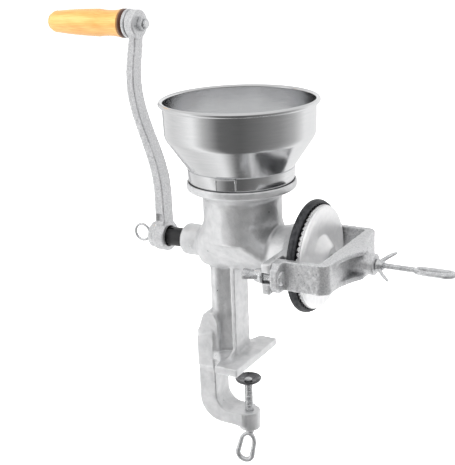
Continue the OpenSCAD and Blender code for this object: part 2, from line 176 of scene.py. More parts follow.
def add(tree: Tree, kind: str, values: Values | None = None, **settings: object) -> Node:
    """Adds a node to a tree.

    Args:
        tree: The tree to add to.
        kind: The node's type name.
        values: For an input's name or number, the socket to link to it or the value to set.
        settings: Properties of the node itself.

    Returns:
        The new node.
    """
    item = tree.nodes.new(kind)
    for key, value in settings.items():
        setattr(item, key, value)
    for key, value in (values or {}).items():
        if isinstance(value, Socket):
            tree.links.new(value, item.inputs[key])
        else:
            item.inputs[key].default_value = value
    return item


def ramp(tree: Tree, factor: Socket, stops: Sequence[tuple[float, str]]) -> Socket:
    """A colour ramp.

    Args:
        tree: The tree to add to.
        factor: The value that picks the colour.
        stops: Places from 0 to 1, each with its sRGB hex colour.

    Returns:
        The ramp's colour output.
    """
    item = add(tree, "ShaderNodeValToRGB", {"Fac": factor})
    elements = item.color_ramp.elements
    while len(elements) < len(stops):
        elements.new(0.5)
    for element, (place, colour) in zip(elements, stops):
        element.position = place
        element.color = linear(colour)
    return item.outputs["Color"]


def mixed_colour(
    tree: Tree, factor: Socket | float, first: Socket, second: Socket | str, blend: str = "MIX"
) -> Socket:
    """Mixes two colours.

    Args:
        tree: The tree to add to.
        factor: How much of the second.
        first: The first colour.
        second: The second, or its sRGB hex colour.
        blend: The way that they mix.

    Returns:
        The mixed colour.
    """
    item = add(tree, "ShaderNodeMix", {"Factor": factor}, data_type="RGBA", blend_type=blend)
    left, right = (socket for socket in item.inputs if socket.type == "RGBA")
    tree.links.new(first, left)
    if isinstance(second, str):
        right.default_value = linear(second)
    else:
        tree.links.new(second, right)
    return next(socket for socket in item.outputs if socket.type == "RGBA")


@dataclass(frozen=True)
class Finish:
    """A finish: its plain colours and how its surface was made."""

    slot: Slot
    light: str
    dark: str
    roughness: float
    metallic: float = 1.0

    def build(self) -> Material:
        """Builds the finish's material.

        Returns:
            The material, named for its slot.
        """
        material = bpy.data.materials.new(self.slot.value)
        material.use_nodes = True
        tree = material.node_tree
        shader = tree.nodes["Principled BSDF"]
        shader.inputs["Metallic"].default_value = self.metallic
        shader.inputs["Roughness"].default_value = self.roughness
        place = add(tree, "ShaderNodeTexCoord").outputs["Object"]
        self.dress(tree, shader, place)
        return material

    def dress(self, tree: Tree, shader: Node, place: Socket) -> None:
        """Adds the finish's own pattern.

        Args:
            tree: The material's tree.
            shader: Its Principled shader.
            place: The object coordinates.
        """
        raise NotImplementedError

    def tinted(self, tree: Tree, pattern: Socket) -> Socket:
        """The finish's colour, from its dark to its light as a pattern rises."""
        return ramp(tree, pattern, [(0.3, self.dark), (0.7, self.light)])

    def tint(self, tree: Tree, shader: Node, pattern: Socket) -> None:
        """Colours the shader by a pattern."""
        tree.links.new(self.tinted(tree, pattern), shader.inputs["Base Color"])

    def vary_roughness(self, tree: Tree, shader: Node, pattern: Socket, less: float, more: float) -> None:
        """Lets the roughness follow a pattern.

        Args:
            tree: The material's tree.
            shader: The shader whose roughness it is.
            pattern: The pattern, from 0 to 1.
            less: How far below the plain roughness it starts.
            more: How far above it ends.
        """
        values = {"Value": pattern, "To Min": self.roughness - less, "To Max": self.roughness + more}
        tree.links.new(add(tree, "ShaderNodeMapRange", values).outputs["Result"], shader.inputs["Roughness"])

    def speckle(self, tree: Tree, place: Socket, size: float, detail: float = 3) -> Socket:
        """A noise whose features are a given size.

        Args:
            tree: The material's tree.
            place: The coordinates.
            size: Size of the features in millimetres.
            detail: Levels of finer noise.

        Returns:
            The noise's value, from 0 to 1.
        """
        values = {"Vector": place, "Scale": per_mm(size), "Detail": detail}
        return add(tree, "ShaderNodeTexNoise", values).outputs["Fac"]

    def relief(self, tree: Tree, shader: Node, layers: Iterable[tuple[Socket, float]]) -> None:
        """Adds layers of bump to the shader.

        Args:
            tree: The material's tree.
            shader: The shader that takes the normal.
            layers: Height sockets, each with its depth in millimetres.
        """
        normal = None
        for height, depth in layers:
            values = {"Height": height, "Distance": depth * MM}
            if normal is not None:
                values["Normal"] = normal
            normal = add(tree, "ShaderNodeBump", values).outputs["Normal"]
        tree.links.new(normal, shader.inputs["Normal"])


@dataclass(frozen=True)
class TinnedCasting(Finish):
    """Grey iron, sand cast and tinned: a light satin silver with soft blotches and the grain of the sand."""

    grain: float = 0.9
    blotch: float = 9.0
    depth: float = 0.13

    def dress(self, tree: Tree, shader: Node, place: Socket) -> None:
        """Tin blotches, painted shade in the hollows with the edges left brightest, and sand grain."""
        blotches = self.speckle(tree, place, self.blotch, 4)
        edge = add(tree, "ShaderNodeNewGeometry").outputs["Pointiness"]
        # Painted shade: pointiness darkens concave hollows to grey and leaves flat faces and edges near
        # white, multiplied into the tin colour.
        hollow_shade = ramp(tree, edge, [(0.43, "7C7D80"), (0.5, "F2F2F2"), (0.57, "FFFFFF")])
        result = mixed_colour(tree, 1.0, self.tinted(tree, blotches), hollow_shade, "MULTIPLY")
        tree.links.new(result, shader.inputs["Base Color"])
        self.vary_roughness(tree, shader, blotches, 0.07, 0.09)
        grain = self.speckle(tree, place, self.grain)
        dents = self.speckle(tree, place, self.grain * 4.5)
        self.relief(tree, shader, [(dents, self.depth * 3), (grain, self.depth)])


@dataclass(frozen=True)
class PolishedSheet(Finish):
    """Stainless sheet, spun and polished: mirror-like, its reflections blurred by faint streaks round it."""

    streak: float = 1.2

    def dress(self, tree: Tree, shader: Node, place: Socket) -> None:
        """Faint streaks round the hopper's axis."""
        values = {"Vector": place, "Scale": (0.06, 0.06, 1.0)}
        squashed = add(tree, "ShaderNodeMapping", values).outputs["Vector"]
        streaks = self.speckle(tree, squashed, self.streak)
        self.tint(tree, shader, streaks)
        self.vary_roughness(tree, shader, streaks, 0.03, 0.05)


@dataclass(frozen=True)
class TurnedMetal(Finish):
    """Metal faced off on a lathe: fine rings round the shaft's axis that stretch the highlights."""

    ring: float = 0.8
    depth: float = 0.01

    def dress(self, tree: Tree, shader: Node, place: Socket) -> None:
        """Turning rings about the shaft's axis over soft blotches."""
        values = {"Vector": place, "Location": (0, 0, -SHAFT_Z)}
        centred = add(tree, "ShaderNodeMapping", values).outputs["Vector"]
        values = {"Vector": centred, "Scale": per_mm(self.ring) / 20, "Distortion": 0.4}
        rings = add(tree, "ShaderNodeTexWave", values, wave_type="RINGS", rings_direction="X").outputs["Fac"]
        self.tint(tree, shader, self.speckle(tree, place, 5))
        self.relief(tree, shader, [(rings, self.depth), (self.speckle(tree, place, 0.8), self.depth)])


@dataclass(frozen=True)
class GrainyMetal(Finish):
    """Bare or plated metal with an even fine grain, such as zinc plate or dark iron."""

    grain: float = 0.5
    depth: float = 0.01
    blotch: float = 4.0

    def dress(self, tree: Tree, shader: Node, place: Socket) -> None:
        """Soft blotches of colour and a fine grain."""
        self.tint(tree, shader, self.speckle(tree, place, self.blotch))
        self.relief(tree, shader, [(self.speckle(tree, place, self.grain), self.depth)])


@dataclass(frozen=True)
class MouldedNylon(Finish):
    """Black nylon, moulded: a soft sheen with a faint orange-peel skin."""

    def dress(self, tree: Tree, shader: Node, place: Socket) -> None:
        """A faint skin."""
        shader.inputs["IOR"].default_value = 1.53
        self.tint(tree, shader, self.speckle(tree, place, 3))
        self.relief(tree, shader, [(self.speckle(tree, place, 0.8), 0.01)])


@dataclass(frozen=True)
class LacqueredBeech(Finish):
    """Turned, lacquered beech: honey yellow, with darker grain along it and a burnt line at its inner end."""

    burnt_at: float = -0.108
    burnt_width: float = 0.004

    def dress(self, tree: Tree, shader: Node, place: Socket) -> None:
        """Grain along the grip, flecks and the burnt line."""
        for key, value in (("IOR", 1.5), ("Coat Weight", 0.6), ("Coat Roughness", 0.12)):
            shader.inputs[key].default_value = value
        values = {"Vector": place, "Scale": (0.07, 1.0, 1.0), "Rotation": (0.0, 0.12, 0.06)}
        along = add(tree, "ShaderNodeMapping", values).outputs["Vector"]
        bands = self.speckle(tree, along, 6.0, 2)
        fibres = self.speckle(tree, along, 1.1, 5)
        blended = add(tree, "ShaderNodeMath", {0: bands, 1: fibres}, operation="ADD").outputs[0]
        half = add(tree, "ShaderNodeMath", {0: blended, 1: 0.5}, operation="MULTIPLY").outputs[0]
        wood = ramp(tree, half, [(0.3, self.dark), (0.45, "BA8A48"), (0.58, self.light), (0.75, "CDA569")])
        across = add(tree, "ShaderNodeSeparateXYZ", {"Vector": place}).outputs["X"]
        offset = add(tree, "ShaderNodeMath", {0: across, 1: self.burnt_at}, operation="SUBTRACT").outputs[0]
        distance = add(tree, "ShaderNodeMath", {0: offset}, operation="ABSOLUTE").outputs[0]
        edge = self.burnt_width
        values = {"Value": distance, "From Min": edge * 0.3, "From Max": edge, "To Min": 1.0, "To Max": 0.0}
        amount = add(tree, "ShaderNodeMapRange", values).outputs["Result"]
        tree.links.new(mixed_colour(tree, amount, wood, "3A1B0C"), shader.inputs["Base Color"])
        self.relief(tree, shader, [(fibres, 0.02)])


FINISHES: list[Finish] = [
    TinnedCasting(Slot.CAST, "F4F4F5", "DCDDDE", 0.3, 0.82),
    PolishedSheet(Slot.SHEET, "F0F0F1", "E9EAEB", 0.16),
    GrainyMetal(Slot.DARK, "505153", "323336", 0.45, 0.7, grain=1.0, depth=0.06, blotch=3.0),
    GrainyMetal(Slot.ZINC, "E2E3E4", "C8C9CB", 0.2, 0.85, grain=0.7, depth=0.01),
    MouldedNylon(Slot.NYLON, "1C1C1D", "121213", 0.34, 0.0),
    TurnedMetal(Slot.TURNED, "F4F4F4", "EAEAEB", 0.34, 0.6),
    GrainyMetal(Slot.BALL, "C8C9CA", "BEBFC0", 0.1, grain=0.5, depth=0.002),
    GrainyMetal(Slot.BLACK, "8C8C8E", "5E5E60", 0.1, grain=1.2, depth=0.004),
    LacqueredBeech(Slot.WOOD, "C69A58", "AA7638", 0.34, 0.0),
]
MATERIALS: dict[Slot, Material] = {finish.slot: finish.build() for finish in FINISHES}
ROUGH_CASTING = TinnedCasting(
    Slot.CAST, "F2F2F3", "C8C9CB", 0.3, 0.82, grain=1.3, blotch=1.3, depth=0.16
).build()
NODE_SLOT = {part["node"]: Slot(part["material_slot"]) for part in frame["record"]["subparts"]}
NODE_BODY = {node: body for body, nodes in frame["record"]["behaviour"]["bodies"].items() for node in nodes}


# ---------------------------------------------------------------- mesh tools


def shade(mesh: Mesh, angle: float = 32) -> Mesh:
    """Shades a mesh smooth but for its sharp edges.

    Args:
        mesh: The mesh to shade.
        angle: Edges over this many degrees stay sharp.

    Returns:
        The same mesh.
    """
    mesh.polygons.foreach_set("use_smooth", [True] * len(mesh.polygons))
    mesh.set_sharp_from_angle(angle=math.radians(angle))
    return mesh


def outward(mesh: Mesh) -> Mesh:
    """Merges a mesh's doubles and turns its faces outwards.

    Args:
        mesh: A closed mesh.

    Returns:
        The same mesh.
    """
    work = bmesh.new()
    work.from_mesh(mesh)
    bmesh.ops.remove_doubles(work, verts=work.verts, dist=1e-6)
    bmesh.ops.recalc_face_normals(work, faces=work.faces)
    work.to_mesh(mesh)
    work.free()
    return mesh


def grid_mesh(rings: Sequence[Ring], closed_rings: bool = True, loop: bool = False) -> Mesh:
    """Joins rings of points into a closed skin.

    Args:
        rings: The rings, all with the same number of points, in metres.
        closed_rings: Whether each ring is a closed loop.
        loop: Whether the last ring joins the first. If not, the ends are capped.

    Returns:
        The mesh, facing outwards.
    """
    count = len(rings[0])
    points = [tuple(p) for ring in rings for p in ring]
    last = len(rings) if loop else len(rings) - 1
    across = count if closed_rings else count - 1
    faces = []
    for i in range(last):
        for j in range(across):
            a = i * count
            b = (i + 1) % len(rings) * count
            faces.append((a + j, a + (j + 1) % count, b + (j + 1) % count, b + j))
    if not loop:
        faces.append(tuple(reversed(range(count))))
        faces.append(tuple(range((len(rings) - 1) * count, len(rings) * count)))
    mesh = bpy.data.meshes.new("skin")
    mesh.from_pydata(points, [], faces)
    return outward(mesh)


def rounded(corners: Sequence[tuple[float, ...]], steps: int = 6) -> list[Point]:
    """Rounds the corners of an outline.

    Args:
        corners: Points (r, h), or (r, h, radius) where the corner is rounded.
        steps: Points in each rounded corner.

    Returns:
        The outline's points.
    """
    out: list[Point] = []
    count = len(corners)
    for i, corner in enumerate(corners):
        here = Vector(corner[:2])
        radius = corner[2] if len(corner) > 2 else 0.0
        if radius == 0.0 or i in (0, count - 1):
            out.append(tuple(here))
            continue
        back = Vector(corners[i - 1][:2]) - here
        on = Vector(corners[i + 1][:2]) - here
        cut = min(radius, back.length * 0.49, on.length * 0.49)
        start = here + back.normalized() * cut
        end = here + on.normalized() * cut
        for k in range(steps + 1):
            t = k / steps
            out.append(tuple(start * (1 - t) ** 2 + here * 2 * t * (1 - t) + end * t**2))
    return out


def arc(centre: Point, radius: float, start: float, end: float, steps: int = 10) -> list[Point]:
    """Points on an arc.

    Args:
        centre: The arc's centre.
        radius: Its radius.
        start: First angle in degrees.
        end: Last angle in degrees.
        steps: Number of steps.

    Returns:
        The points.
    """
    angles = [math.radians(start + (end - start) * k / steps) for k in range(steps + 1)]
    return [(centre[0] + radius * math.cos(a), centre[1] + radius * math.sin(a)) for a in angles]


def lathe(outline: Sequence[Point], segments: int = 96) -> Mesh:
    """Turns an outline round the Z axis.

    Args:
        outline: Points (r, h) in millimetres, from axis to axis or a closed loop.
        segments: Steps round the axis.

    Returns:
        A closed mesh, in metres.
    """
    rings = []
    for k in range(segments):
        angle = 2 * math.pi * k / segments
        c, s = math.cos(angle) * MM, math.sin(angle) * MM
        rings.append([(r * c, r * s, h * MM) for r, h in outline])
    touches = outline[0][0] < 1e-6 and outline[-1][0] < 1e-6
    return grid_mesh(rings, closed_rings=not touches, loop=True)


def turned(corners: Sequence[tuple[float, ...]], steps: int, segments: int = 96) -> Mesh:
    """Turns an outline with rounded corners round the Z axis."""
    return lathe(rounded(corners, steps), segments)


def sheet_outline(path: Sequence[Point], thickness: float) -> list[Point]:
    """Gives a path the thickness of a sheet.

    Args:
        path: Points of the sheet's middle line.
        thickness: The sheet's thickness.

    Returns:
        A closed outline round the path.
    """
    line = [Vector(p) for p in path]
    sides: list[list[Point]] = [[], []]
    for i, point in enumerate(line):
        tangent = (line[min(i + 1, len(line) - 1)] - line[max(i - 1, 0)]).normalized()
        normal = Vector((-tangent.y, tangent.x)) * thickness / 2
        sides[0].append(tuple(point + normal))
        sides[1].append(tuple(point - normal))
    return sides[0] + sides[1][::-1]


def merged(meshes: Sequence[Mesh]) -> Mesh:
    """Puts several meshes into one.

    Args:
        meshes: The meshes, which are used up.

    Returns:
        The first mesh, now holding them all.
    """
    work = bmesh.new()
    for mesh in meshes:
        work.from_mesh(mesh)
    for mesh in meshes[1:]:
        bpy.data.meshes.remove(mesh)
    work.to_mesh(meshes[0])
    work.free()
    return meshes[0]


def moved(mesh: Mesh, matrix: Matrix) -> Mesh:
    """Moves a mesh's points by a matrix and returns it."""
    mesh.transform(matrix)
    return mesh


def placed(name: str, data: bpy.types.ID | None) -> Thing:
    """Makes an object from its data and links it to the scene."""
    thing = bpy.data.objects.new(name, data)
    bpy.context.scene.collection.objects.link(thing)
    return thing


def plain(thing: Thing) -> Mesh:
    """Turns an object with modifiers into a plain mesh.

    Args:
        thing: The object, which is removed.

    Returns:
        Its evaluated mesh.
    """
    if thing.name not in bpy.context.scene.collection.objects:
        bpy.context.scene.collection.objects.link(thing)
    bpy.context.view_layer.update()
    depsgraph = bpy.context.evaluated_depsgraph_get()
    mesh = bpy.data.meshes.new_from_object(thing.evaluated_get(depsgraph), depsgraph=depsgraph)
    bpy.data.objects.remove(thing)
    return mesh


def cad_copy(node: str) -> Mesh:
    """A merged copy of a CAD node's mesh."""
    return outward(frame["nodes"][node].data.copy())


def bevelled(mesh: Mesh, width: float, segments: int = 2, angle: float = 30) -> Mesh:
    """Breaks a mesh's sharp edges.

    Args:
        mesh: The mesh.
        width: The bevel's width in millimetres.
        segments: Steps across the bevel.
        angle: Edges over this many degrees are broken.

    Returns:
        A new mesh.
    """
    thing = bpy.data.objects.new("bevel", mesh)
    modifier = thing.modifiers.new("Bevel", "BEVEL")
    modifier.width = width * MM
    modifier.segments = segments
    modifier.limit_method = "ANGLE"
    modifier.angle_limit = math.radians(angle)
    modifier.harden_normals = False
    return plain(thing)


def piece(
    name: str, node: str, mesh: Mesh, angle: float = 32, look: Material | None = None
) -> Thing:
    """Makes a finished piece that stands for a CAD node.

    Args:
        name: The piece's name.
        node: The CAD node that it replaces.
        mesh: Its mesh, in place.
        angle: Edges over this many degrees are shaded sharp.
        look: Its material, if it isn't the usual one of the node's slot.

    Returns:
        The piece.
    """
    chosen = NODE_SLOT[node]
    mesh.name = name
    mesh.materials.clear()
    mesh.materials.append(look or MATERIALS[chosen])
    mesh.polygons.foreach_set("material_index", [0] * len(mesh.polygons))
    shade(mesh, angle)
    thing = placed(name, mesh)
    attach(thing, NODE_BODY[node])
    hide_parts(node)
    LOG.info("%-24s %7d faces  rides %s", name, len(mesh.polygons), NODE_BODY[node])
    return thing


def shaft_piece(name: str, node: str, mesh: Mesh, angle: float = 32) -> None:
    """Makes a piece on the shaft from a mesh turned round Z, its foot at the low end of the node's box."""
    piece(name, node, moved(mesh, along_x(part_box(node)[0].x)), angle)


# ---------------------------------------------------------------- castings

NORMALS_EVERY = 5


@dataclass
class Casting:
    """A sand casting: a CAD node's shape with fillets in its corners and a soft, slightly uneven skin."""

    node: str
    voxel: float = 1.0
    fillet_steps: int = 50
    soften_steps: int = 12
    pull: float = 0.5
    push_back: float = 0.53
    waviness: float = 0.12
    wave: float = 7.0
    spared: list[Callable[[np.ndarray], np.ndarray]] = field(default_factory=list)
    look: Material | None = None

    def remeshed(self) -> Mesh:
        """Rebuilds the node's mesh from even small faces.

        Returns:
            The new mesh.
        """
        thing = bpy.data.objects.new("casting", cad_copy(self.node))
        modifier = thing.modifiers.new("Remesh", "REMESH")
        modifier.mode = "VOXEL"
        modifier.voxel_size = self.voxel * MM
        modifier.adaptivity = 0.0
        return plain(thing)

    def relaxed(self, mesh: Mesh) -> None:
        """Fills inside corners and rounds outside edges, in place.

        Args:
            mesh: The even mesh.
        """
        count = len(mesh.vertices)
        points = np.empty(count * 3)
        mesh.vertices.foreach_get("co", points)
        points = points.reshape(-1, 3)
        ends = np.empty(len(mesh.edges) * 2, dtype=np.int64)
        mesh.edges.foreach_get("vertices", ends)
        near, far = ends[0::2], ends[1::2]
        degree = np.bincount(ends, minlength=count)[:, None]
        free = np.ones(count)
        for mask in self.spared:
            free[mask(points / MM)] = 0.0
        normals = np.empty(count * 3)
        for step in range(self.fillet_steps + self.soften_steps):
            filling = step < self.fillet_steps
            sums = [
                np.bincount(near, points[far, k], count) + np.bincount(far, points[near, k], count)
                for k in range(3)
            ]
            total = np.stack(sums, axis=1)
            move = total / degree - points
            weight = np.ones(count)
            if filling:
                if step % NORMALS_EVERY == 0:
                    mesh.vertices.foreach_set("co", points.ravel())
                    mesh.update()
                    mesh.vertex_normals.foreach_get("vector", normals)
                hollow = (move * normals.reshape(-1, 3)).sum(axis=1) > 0
                weight = hollow * free
            pull = -self.push_back if not filling and step % 2 else self.pull
            points += pull * move * weight[:, None]
        mesh.vertices.foreach_set("co", points.ravel())
        mesh.update()

    def weathered(self, mesh: Mesh) -> None:
        """Gives the skin the slight waves of a sand mould, in place."""
        size = 1 / (self.wave * MM)
        for vertex, normal in zip(mesh.vertices, [v.normal.copy() for v in mesh.vertices]):
            height = noise.noise(vertex.co * size) + 0.4 * noise.noise(vertex.co * size * 3.1)
            vertex.co += normal * height * self.waviness * MM

    def build(self, name: str) -> Thing:
        """Makes the piece.

        Args:
            name: Its name.

        Returns:
            The piece.
        """
        mesh = self.remeshed()
        self.relaxed(mesh)
        self.weathered(mesh)
        return piece(name, self.node, mesh, angle=70, look=self.look)


# ---------------------------------------------------------------- grown parts


@dataclass
class Grower:
    """A Geometry Nodes tree with named inputs, built once and grown into plain meshes."""

    name: str
    inputs: dict[str, float]
    tree: Tree = field(init=False)

    def __post_init__(self) -> None:
        """Makes the empty tree and its inputs."""
        self.tree = bpy.data.node_groups.new(self.name, "GeometryNodeTree")
        self.tree.interface.new_socket("Geometry", in_out="OUTPUT", socket_type="NodeSocketGeometry")
        for key, value in self.inputs.items():
            socket = self.tree.interface.new_socket(key, in_out="INPUT", socket_type="NodeSocketFloat")
            socket.default_value = value
        self.tree.interface.new_socket("Material", in_out="INPUT", socket_type="NodeSocketMaterial")
        source = add(self.tree, "NodeGroupInput")
        shape = self.shape({key: source.outputs[key] for key in self.inputs})
        real = add(self.tree, "GeometryNodeRealizeInstances", {"Geometry": shape}).outputs[0]
        values = {"Geometry": real, "Material": source.outputs["Material"]}
        coated = add(self.tree, "GeometryNodeSetMaterial", values).outputs[0]
        add(self.tree, "NodeGroupOutput", {"Geometry": coated})

    def shape(self, given: dict[str, Socket]) -> Socket:
        """Builds the tree's shape.

        Args:
            given: The tree's inputs by name.

        Returns:
            The socket with the geometry.
        """
        raise NotImplementedError

    def made(self, kind: str, values: Values, **settings: object) -> Socket:
        """Adds a node and gives its first output."""
        return add(self.tree, kind, values, **settings).outputs[0]

    def number(self, operation: str, a: object, b: object) -> Socket:
        """The result of one sum on two values or sockets."""
        return self.made("ShaderNodeMath", {0: a, 1: b}, operation=operation)

    def grow(self, slot: Slot, **values: float) -> Mesh:
        """Grows a mesh.

        Args:
            slot: The finish that the tree sets.
            values: Inputs by name.

        Returns:
            The plain mesh, facing outwards.
        """
        thing = placed("grown", bpy.data.meshes.new("grown"))
        modifier = thing.modifiers.new("Grow", "NODES")
        modifier.node_group = self.tree
        for item in self.tree.interface.items_tree:
            if item.in_out == "INPUT" and item.name in values:
                modifier[item.identifier] = float(values[item.name])
            elif item.in_out == "INPUT" and item.name == "Material":
                modifier[item.identifier] = MATERIALS[slot]
        return outward(plain(thing))


class ThreadGrower(Grower):
    """A screw thread along +Z from the origin."""

    def shape(self, given: dict[str, Socket]) -> Socket:
        """A ridge on a helix, on a plain core."""
        root = self.number("SUBTRACT", given["Radius"], given["Depth"])
        turns = self.number("DIVIDE", given["Length"], given["Pitch"])
        values = {"Resolution": 24, "Rotations": turns, "Start Radius": root, "End Radius": root}
        helix = self.made("GeometryNodeCurveSpiral", values | {"Height": given["Length"]})
        flank = self.made("GeometryNodeCurvePrimitiveCircle", {"Resolution": 4, "Radius": given["Depth"]})
        values = {"Curve": helix, "Profile Curve": flank, "Fill Caps": True}
        ridge = self.made("GeometryNodeCurveToMesh", values)
        values = {"Vertices": 32, "Radius": root, "Depth": given["Length"]}
        core = self.made("GeometryNodeMeshCylinder", values)
        half = self.number("MULTIPLY", given["Length"], 0.5)
        lift = self.made("ShaderNodeCombineXYZ", {"Z": half})
        raised = self.made("GeometryNodeTransform", {"Geometry": core, "Translation": lift})
        joined = add(self.tree, "GeometryNodeJoinGeometry")
        for part in (ridge, raised):
            self.tree.links.new(part, joined.inputs[0])
        return joined.outputs[0]


class EyeGrower(Grower):
    """An oval wire eye in the XZ plane, long along +X, with its near end at the origin."""

    def shape(self, given: dict[str, Socket]) -> Socket:
        """A round wire swept round a filleted rectangle."""
        gauge = self.number("MULTIPLY", given["Wire"], 2.0)
        long = self.number("SUBTRACT", given["Length"], gauge)
        wide = self.number("SUBTRACT", given["Width"], gauge)
        oblong = self.made("GeometryNodeCurvePrimitiveQuadrilateral", {"Width": long, "Height": wide})
        bend = self.number("MULTIPLY", wide, 0.4999)
        values = {"Curve": oblong, "Radius": bend, "Count": 14}
        path = self.made("GeometryNodeFilletCurve", values, mode="POLY")
        wire = self.made("GeometryNodeCurvePrimitiveCircle", {"Resolution": 20, "Radius": given["Wire"]})
        swept = self.made("GeometryNodeCurveToMesh", {"Curve": path, "Profile Curve": wire})
        half = self.number("MULTIPLY", given["Length"], 0.5)
        along = self.made("ShaderNodeCombineXYZ", {"X": half})
        values = {"Geometry": swept, "Translation": along, "Rotation": (math.pi / 2, 0.0, 0.0)}
        return self.made("GeometryNodeTransform", values)


class TeethGrower(Grower):
    """A ring of slanting bars round +Z at height zero, such as a burr's teeth."""

    def shape(self, given: dict[str, Socket]) -> Socket:
        """Bars set at even angles round a circle, each turned by the slant."""
        count = self.made("FunctionNodeFloatToInt", {0: given["Count"]})
        circle = self.made("GeometryNodeMeshCircle", {"Vertices": count, "Radius": given["Radius"]})
        sides = {"X": given["Length"], "Y": given["Width"], "Z": given["Height"]}
        size = self.made("ShaderNodeCombineXYZ", sides)
        bar = self.made("GeometryNodeMeshCube", {"Size": size})
        index = self.made("GeometryNodeInputIndex", {})
        step = self.number("DIVIDE", math.tau, given["Count"])
        angle = self.number("ADD", self.number("MULTIPLY", index, step), given["Slant"])
        facing = self.made("ShaderNodeCombineXYZ", {"Z": angle})
        values = {"Points": circle, "Instance": bar, "Rotation": facing}
        return self.made("GeometryNodeInstanceOnPoints", values)


THREAD_DEPTH = 0.22
THREADS = ThreadGrower("screw_thread", {"Radius": 0.004, "Pitch": 0.00125, "Length": 0.05, "Depth": 0.0005})
EYES = EyeGrower("wire_eye", {"Length": 0.036, "Width": 0.019, "Wire": 0.002})
TEETH = TeethGrower("burr_teeth", {
    "Count": 48, "Radius": 0.04, "Length": 0.01, "Width": 0.0015, "Height": 0.001, "Slant": 0.2,
})


# ---------------------------------------------------------------- shared hardware


def eye(wire: float, length: float, width: float, place: Matrix, neck: float = 0.0) -> Mesh:
    """A wire eye, as on a ring screw.

    Args:
        wire: Radius of the wire, in millimetres.
        length: Outer length.
        width: Outer width.
        place: Where its near end goes, and which way it points.
        neck: How much its near half is pinched, from 0 to 1.

    Returns:
        The mesh, in place.
    """
    mesh = EYES.grow(Slot.ZINC, Wire=wire * MM, Length=length * MM, Width=width * MM)
    for vertex in mesh.vertices:
        along = min(max(vertex.co.x / (length * MM * 0.6), 0.0), 1.0)
        vertex.co.z *= 1 - neck * (1 - along) ** 2
    return moved(mesh, place)


def threaded(radius: float, pitch: float, length: float, place: Matrix) -> Mesh:
    """A threaded rod.

    Args:
        radius: Its outer radius, in millimetres.
        pitch: The thread's pitch.
        length: Its length.
        place: Where its start goes, and which way it points.

    Returns:
        The mesh, in place.
    """
    depth = pitch * THREAD_DEPTH
    mesh = THREADS.grow(Slot.ZINC, Radius=radius * MM, Pitch=pitch * MM, Length=length * MM, Depth=depth * MM)
    for vertex in mesh.vertices:
        vertex.co.z = min(max(vertex.co.z, 0.0), length * MM)
    return moved(mesh, place)


def wing(length: float, rise: float, root: float, tip: float, thick: float) -> Mesh:
    """One wing of a wing nut: a flat paddle that grows out of the hub along +Y.

    Args:
        length: Reach along Y, in millimetres.
        rise: How far the tip stands along +X.
        root: Half height at the hub, along X.
        tip: Half height near the tip.
        thick: Half thickness.

    Returns:
        The mesh, in metres.
    """
    rings = []
    steps, sides = 12, 16
    for i in range(steps + 1):
        t = i / steps
        across = root + (tip - root) * t
        if t > 0.75:
            across *= math.sqrt(max(1 - ((t - 0.75) / 0.26) ** 2, 0.02))
        thickness = thick * (1.5 - 0.6 * t)
        ring = []
        for k in range(sides):
            angle = math.tau * k / sides
            c, s = math.cos(angle), math.sin(angle)
            square = (abs(c) ** 4 + abs(s) ** 4) ** -0.25
            x = root + rise * t**1.3 + across * c * square
            ring.append((x * MM, length * t * MM, thickness * s * square * MM))
        rings.append(ring)
    return grid_mesh(rings)


@dataclass
class WingNut:
    """A stamped wing nut on the X axis, its flat face at the origin and its wings rising along +X."""

    hub: float
    tall: float
    span: float
    reach: float
    bore: float
    tip: float = 2.4
    sheet: float = 1.35

    def build(self, place: Matrix) -> Mesh:
        """Makes the nut.

        Args:
            place: Where it goes, and which way it points.

        Returns:
            The mesh, in place.
        """
        top = self.hub * 0.78
        mouth = self.bore + 0.5
        hub = turned([
            (self.bore, 0.5), (mouth, 0.0), (self.hub, 0.0, 0.8), (self.hub, 1.6, 0.8),
            (top, self.tall, 0.9), (mouth, self.tall), (self.bore, self.tall - 0.5),
        ], 4, 48)
        root, inset = self.tall * 0.32, self.hub * 0.3
        rise = self.reach - self.tip * 1.6 - root
        parts = [moved(hub, turn("Y", 90))]
        for side in (0, 180):
            paddle = wing(self.span - inset, rise, root, self.tip, self.sheet)
            parts.append(moved(paddle, turn("X", side) @ shift(y=inset * MM)))
        return moved(merged(parts), place)


def washer(outer: float, bore: float, thick: float, edge: float = 0.5) -> Mesh:
    """A washer standing on the XY plane, with softened edges."""
    foot, top = [(bore, edge), (bore + edge, 0.0)], [(bore + edge, thick), (bore, thick - edge)]
    return turned([*foot, (outer, 0.0, edge), (outer, thick, edge), *top], 4)


# ---------------------------------------------------------------- sub-assemblies


def off_line(points: np.ndarray, height: float, aside: float = 0.0) -> np.ndarray:
    """How far points are from lines along X at a height and at a distance to either side, in millimetres."""
    sideways = np.abs(points[:, 1]) - aside if aside else points[:, 1]
    return np.hypot(sideways, points[:, 2] - height)


@dataclass
class Body:
    """The main casting: cup, throat, barrel, mouth plate, post and the clamp's C."""

    voxel: float = 0.95
    fillet_steps: int = 24
    bush_bore: float = 11.0
    barrel_bore: float = 19.0
    cup_bore: float = 46.2
    cup_rise: float = 56.0
    screw_hole: float = 7.0

    def spare_bores(self, points: np.ndarray) -> np.ndarray:
        """Points in the bores, the cup and the clamp screw's hole, which keep their size."""
        x, y, z = points.T
        off_shaft = off_line(points, SHAFT_MM)
        off_axis = np.hypot(x, y)
        in_bush = (off_shaft < self.bush_bore) & (x < -30)
        in_barrel = (off_shaft < self.barrel_bore) & (x > 30)
        in_cup = (off_axis < self.cup_bore) & (z > SHAFT_MM + self.cup_rise)
        in_screw = (off_axis < self.screw_hole) & (z < -45)
        return in_bush | in_barrel | in_cup | in_screw

    def build(self) -> None:
        """Makes the casting."""
        casting = Casting("body_casting", self.voxel, self.fillet_steps, spared=[self.spare_bores])
        casting.build("cast_body")


